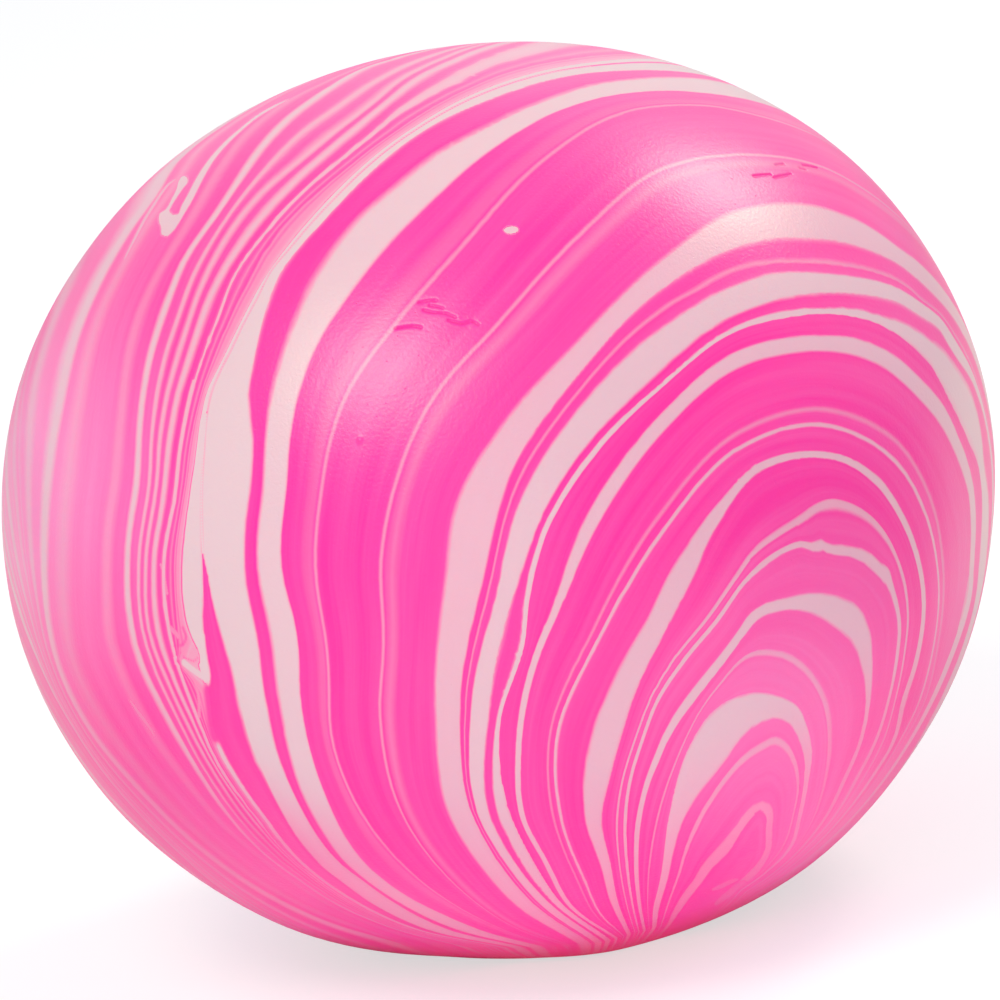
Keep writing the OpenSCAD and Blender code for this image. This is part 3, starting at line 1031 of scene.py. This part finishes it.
split = add_node(tree, "ShaderNodeSeparateXYZ")
tree.links.new(place, split.inputs[0])
flow = add_node(tree, "ShaderNodeCombineXYZ")
tree.links.new(math_node(tree, "MULTIPLY", level, fibre_across), flow.inputs["X"])
tree.links.new(math_node(tree, "MULTIPLY", split.outputs["Z"], fibre_along), flow.inputs["Y"])
tree.links.new(math_node(tree, "MULTIPLY", split.outputs["X"], fibre_along), flow.inputs["Z"])
fibre = noise(tree, flow.outputs[0], {"Scale": 1, "Detail": 4, "Roughness": 0.65})
tone = ranged(tree, fibre, fibre_low, fibre_high, tone_deep, tone_light)
pink = mixed(tree, math_node(tree, "ADD", tone, painted(tree, "pink_light")), pink_deep, pink_light)
marbled = mixed(tree, paleness, pink, pale_pink)
# Painted shade: close to the floor the skin turns crimson, for the dark red shade where it meets the table
painted_contact_shade = ranged(tree, split.outputs["Z"], foot_low, foot_high, foot_share, 0)
tree.links.new(mixed(tree, painted_contact_shade, marbled, contact_shade_crimson), shader.inputs["Base Color"])

# The rubber is satin, with a fine grain and small pits, and a little light enters it
grain_scale = 4500
pit_scale = 1300
pit_floor, pit_rim = 0.03, 0.09
pit_depth = -2
grain_strength = 0.2
grain_depth = 0.0001
smooth_angle = radians(35)
grain = noise(tree, place, {"Scale": grain_scale, "Detail": 3})
pits = add_node(tree, "ShaderNodeTexVoronoi", {"Scale": pit_scale})
tree.links.new(place, pits.inputs["Vector"])
pit = ranged(tree, pits.outputs["Distance"], pit_floor, pit_rim, pit_depth, 0)
bump_out(tree, shader, math_node(tree, "ADD", grain, pit), grain_strength, grain_depth)
shader.inputs["Roughness"].default_value = 0.34
shader.inputs["IOR"].default_value = 1.5
shader.inputs["Specular IOR Level"].default_value = 0.65
shader.inputs["Subsurface Weight"].default_value = 0.2
shader.inputs["Subsurface Radius"].default_value = (1, 0.08, 0.14)
shader.inputs["Subsurface Scale"].default_value = 0.003
bpy.ops.object.select_all(action="DESELECT")
skin.select_set(True)
bpy.context.view_layer.objects.active = skin
bpy.ops.object.shade_smooth_by_angle(angle=smooth_angle)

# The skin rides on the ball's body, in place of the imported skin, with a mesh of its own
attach(skin, "ball")
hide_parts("skin")
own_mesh(skin)

# The filling is a soft dough, pressed in through the neck until the skin is full, so it has the skin's shape.
# It closes around the neck and around the stopper's barb, and its surface is left a little lumpy.
fill_gap = 0.0002
barb_r = 0.0035
barb_rim = 0.0004
barb_tip_r = 0.0015
barb_top = 0.0102
dough_around = 128
dough_steps = 48
dough_lump = 0.004
dough_dent = 0.0004
dough_inset = skin_t + fill_gap
dough_neck_r = neck_r + fill_gap
dough_fillet = neck_fillet - fill_gap
dough_outline = [
    (barb_tip_r + fill_gap, barb_top + fill_gap),
    (barb_r + fill_gap, neck_top + barb_rim + fill_gap),
    (barb_r + fill_gap, neck_top + fill_gap),
    (dough_neck_r, neck_top + fill_gap),
]
dough_outline += inside_stations(dough_inset, dough_neck_r, dough_fillet, dough_steps)


def close_rings(close):
    """Closes the open rings of a drawn piece with an operator, and turns its faces outwards."""
    bpy.ops.mesh.select_all(action="DESELECT")
    bpy.ops.mesh.select_non_manifold()
    close()
    bpy.ops.mesh.select_all(action="SELECT")
    bpy.ops.mesh.normals_make_consistent(inside=False)
    bpy.ops.object.mode_set(mode="OBJECT")


dough = start_ring(dough_outline, dough_around)
dough.name = "dough_filling"
draw_rings(dough_outline)
draw_crown(dough_outline, ball_h - dough_inset)
close_rings(bpy.ops.mesh.edge_face_add)
lumps = bpy.data.textures.new("dough_lumps", "CLOUDS")
lumps.noise_scale = dough_lump
dents = dough.modifiers.new("dents", "DISPLACE")
dents.texture = lumps
dents.texture_coords = "LOCAL"
dents.mid_level = 1
dents.strength = dough_dent
bpy.ops.object.modifier_apply(modifier=dents.name)
bpy.ops.object.shade_smooth_by_angle(angle=smooth_angle)

dough_light = (0.90, 0.78, 0.76, 1)
dough_dark = (0.82, 0.66, 0.66, 1)
knead_scale = 180
crumb_scale = 2600
crumb_strength = 0.35
crumb_depth = 0.0001
tree, shader, place = new_material(dough, "dough")
knead = noise(tree, place, {"Scale": knead_scale, "Detail": 5, "Distortion": 1.2})
tree.links.new(mixed(tree, knead, dough_light, dough_dark), shader.inputs["Base Color"])
crumb = noise(tree, place, {"Scale": crumb_scale, "Detail": 4})
bump_out(tree, shader, crumb, crumb_strength, crumb_depth)
shader.inputs["Roughness"].default_value = 0.85
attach(dough, "core")
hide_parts("filling")
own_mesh(dough)

# The stopper is one moulded rubber plug: a thin cap, a stem that fills the hole and a barb behind the neck.
# It is pushed in from below after filling, and its cap lies a little inside the seat, clear of the table.
cap_lift = 0.0004
cap_top = 0.0014
cap_r = 0.0045
cap_bevel = 0.00025
stem_r = 0.00245
stopper_around = 96
edge_round = 0.00008
edge_steps = 3
edge_angle = radians(25)
stopper_outline = [
    (cap_r - cap_bevel, cap_lift), (cap_r, cap_lift + cap_bevel), (cap_r, cap_top), (stem_r, cap_top),
    (stem_r, neck_top), (barb_r, neck_top), (barb_r, neck_top + barb_rim), (barb_tip_r, barb_top),
]
stopper = start_ring(stopper_outline, stopper_around)
stopper.name = "rubber_stopper"
draw_rings(stopper_outline)
close_rings(bpy.ops.mesh.edge_face_add)
rounding = stopper.modifiers.new("rounding", "BEVEL")
rounding.width = edge_round
rounding.segments = edge_steps
rounding.limit_method = "ANGLE"
rounding.angle_limit = edge_angle
bpy.ops.object.modifier_apply(modifier=rounding.name)
bpy.ops.object.shade_smooth_by_angle(angle=smooth_angle)

stopper_pink = (0.90, 0.34, 0.52, 1)
stopper_pale = (0.88, 0.50, 0.60, 1)
cloud_scale = 420
mould_scale = 5200
mould_strength = 0.2
mould_depth = 0.00005
tree, shader, place = new_material(stopper, "stopper_rubber")
cloud = noise(tree, place, {"Scale": cloud_scale, "Detail": 3, "Distortion": 0.8})
tree.links.new(mixed(tree, cloud, stopper_pink, stopper_pale), shader.inputs["Base Color"])
mould_grain = noise(tree, place, {"Scale": mould_scale, "Detail": 3})
bump_out(tree, shader, mould_grain, mould_strength, mould_depth)
shader.inputs["Roughness"].default_value = 0.45
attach(stopper, "ball")
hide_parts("stopper")
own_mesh(stopper)

# The glue is a thin clear film between the cap and its seat, pressed outwards until its edge bulges.
# It holds the cap to the skin all round the fill hole, and it stops a little short of the cap's rim.
glue_r = 0.0042
glue_bulge = 0.00008
glue_around = 96
glue_smooth = radians(50)
glue_outline = [
    (hole_r, cap_top), (glue_r - glue_bulge, cap_top), (glue_r, (cap_top + seat_top) / 2),
    (glue_r - glue_bulge, seat_top), (hole_r, seat_top),
]
glue = start_ring(glue_outline, glue_around)
glue.name = "stopper_glue_film"
draw_rings(glue_outline)
close_rings(bpy.ops.mesh.bridge_edge_loops)
bpy.ops.object.shade_smooth_by_angle(angle=glue_smooth)

glue_amber = (0.80, 0.66, 0.46, 1)
glue_clear = (0.90, 0.84, 0.72, 1)
smear_scale = 700
tree, shader, place = new_material(glue, "dried_glue")
smear = noise(tree, place, {"Scale": smear_scale, "Detail": 2, "Distortion": 2})
tree.links.new(mixed(tree, smear, glue_amber, glue_clear), shader.inputs["Base Color"])
shader.inputs["Roughness"].default_value = 0.18
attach(glue, "ball")
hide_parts("stopper_glue")
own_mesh(glue)

# The studio is a white floor that keeps the ball's shadow, three soft boxes and even white surroundings.
# The floor is seen only from above, so that the ball's underside shows in a view from below.
floor_size = 4
floor_matt = (0.88, 0.88, 0.88, 1)
floor_seen = (0.44, 0.45, 0.52, 1)
floor_glow = 0.62
bpy.ops.object.select_all(action="DESELECT")
bpy.ops.mesh.primitive_plane_add(size=floor_size)
floor = bpy.context.object
floor.name = "floor"
floor_material = bpy.data.materials.new("floor_white")
floor_material.use_nodes = True
floor.data.materials.append(floor_material)
tree = floor_material.node_tree
tree.nodes.clear()
output = add_node(tree, "ShaderNodeOutputMaterial")
ray = add_node(tree, "ShaderNodeLightPath")
matt = add_node(tree, "ShaderNodeBsdfDiffuse", {"Color": floor_matt})
half_matt = add_node(tree, "ShaderNodeBsdfDiffuse", {"Color": floor_seen})
glow = add_node(tree, "ShaderNodeEmission", {"Strength": floor_glow})
seen = add_node(tree, "ShaderNodeAddShader")
tree.links.new(half_matt.outputs[0], seen.inputs[0])
tree.links.new(glow.outputs[0], seen.inputs[1])
direct = add_node(tree, "ShaderNodeMixShader")
tree.links.new(ray.outputs["Is Camera Ray"], direct.inputs[0])
tree.links.new(matt.outputs[0], direct.inputs[1])
tree.links.new(seen.outputs[0], direct.inputs[2])
clear = add_node(tree, "ShaderNodeBsdfTransparent")
facing = add_node(tree, "ShaderNodeNewGeometry")
sided = add_node(tree, "ShaderNodeMixShader")
tree.links.new(facing.outputs["Backfacing"], sided.inputs[0])
tree.links.new(direct.outputs[0], sided.inputs[1])
tree.links.new(clear.outputs[0], sided.inputs[2])
tree.links.new(sided.outputs[0], output.inputs["Surface"])


def soft_box(name, toward, size, power, colour):
    """A square soft box that faces the ball from a direction given as right, up and back of the view."""
    way = (toward[0] * view_right + toward[1] * view_up + toward[2] * view_back).normalized()
    bpy.ops.object.select_all(action="DESELECT")
    bpy.ops.object.light_add(type="AREA", location=Vector((0, 0, ball_h / 2)) + lamp_distance * way)
    lamp = bpy.context.object
    lamp.name = name
    lamp.rotation_euler = way.to_track_quat("Z", "Y").to_euler()
    lamp.data.shape = "SQUARE"
    lamp.data.size = size
    lamp.data.energy = power
    lamp.data.color = colour
    lamp.visible_camera = False


lamp_distance = 0.5
warm_white = (1, 0.97, 0.68)
plain_white = (1, 1, 1)
soft_box("soft_box_right", toward=(0.46, 0.86, -0.22), size=0.15, power=0.85, colour=warm_white)
soft_box("soft_box_left", toward=(-0.44, 0.58, 0.69), size=0.2, power=1.2, colour=warm_white)
soft_box("fill_low", toward=(0, -0.22, 0.975), size=0.3, power=0.4, colour=plain_white)
bpy.context.object.visible_glossy = False

# A small light card lies on the floor before the ball and lights its underside
card_size = 0.1
card_front = 0.06
card_lift = 0.0003
card_power = 0.008
bpy.ops.object.select_all(action="DESELECT")
bpy.ops.object.light_add(type="AREA", location=(0, -card_front, card_lift), rotation=(pi, 0, 0))
card = bpy.context.object
card.name = "light_card"
card.data.shape = "SQUARE"
card.data.size = card_size
card.data.energy = card_power
card.visible_camera = False
card.visible_glossy = False

# The surroundings are white to the eye and in reflections, and light the ball at about half of that
surroundings_light = 0.53
world = bpy.data.worlds.new("white_surroundings")
bpy.context.scene.world = world
world.use_nodes = True
tree = world.node_tree
ray = add_node(tree, "ShaderNodeLightPath")
shown = math_node(tree, "MAXIMUM", ray.outputs["Is Camera Ray"], ray.outputs["Is Glossy Ray"])
shown = math_node(tree, "MAXIMUM", shown, ray.outputs["Is Transmission Ray"])
tree.nodes["Background"].inputs["Color"].default_value = (1, 1, 1, 1)
strength = ranged(tree, shown, 0, 1, surroundings_light, 1)
tree.links.new(strength, tree.nodes["Background"].inputs["Strength"])

bpy.context.scene.view_settings.view_transform = "Standard"
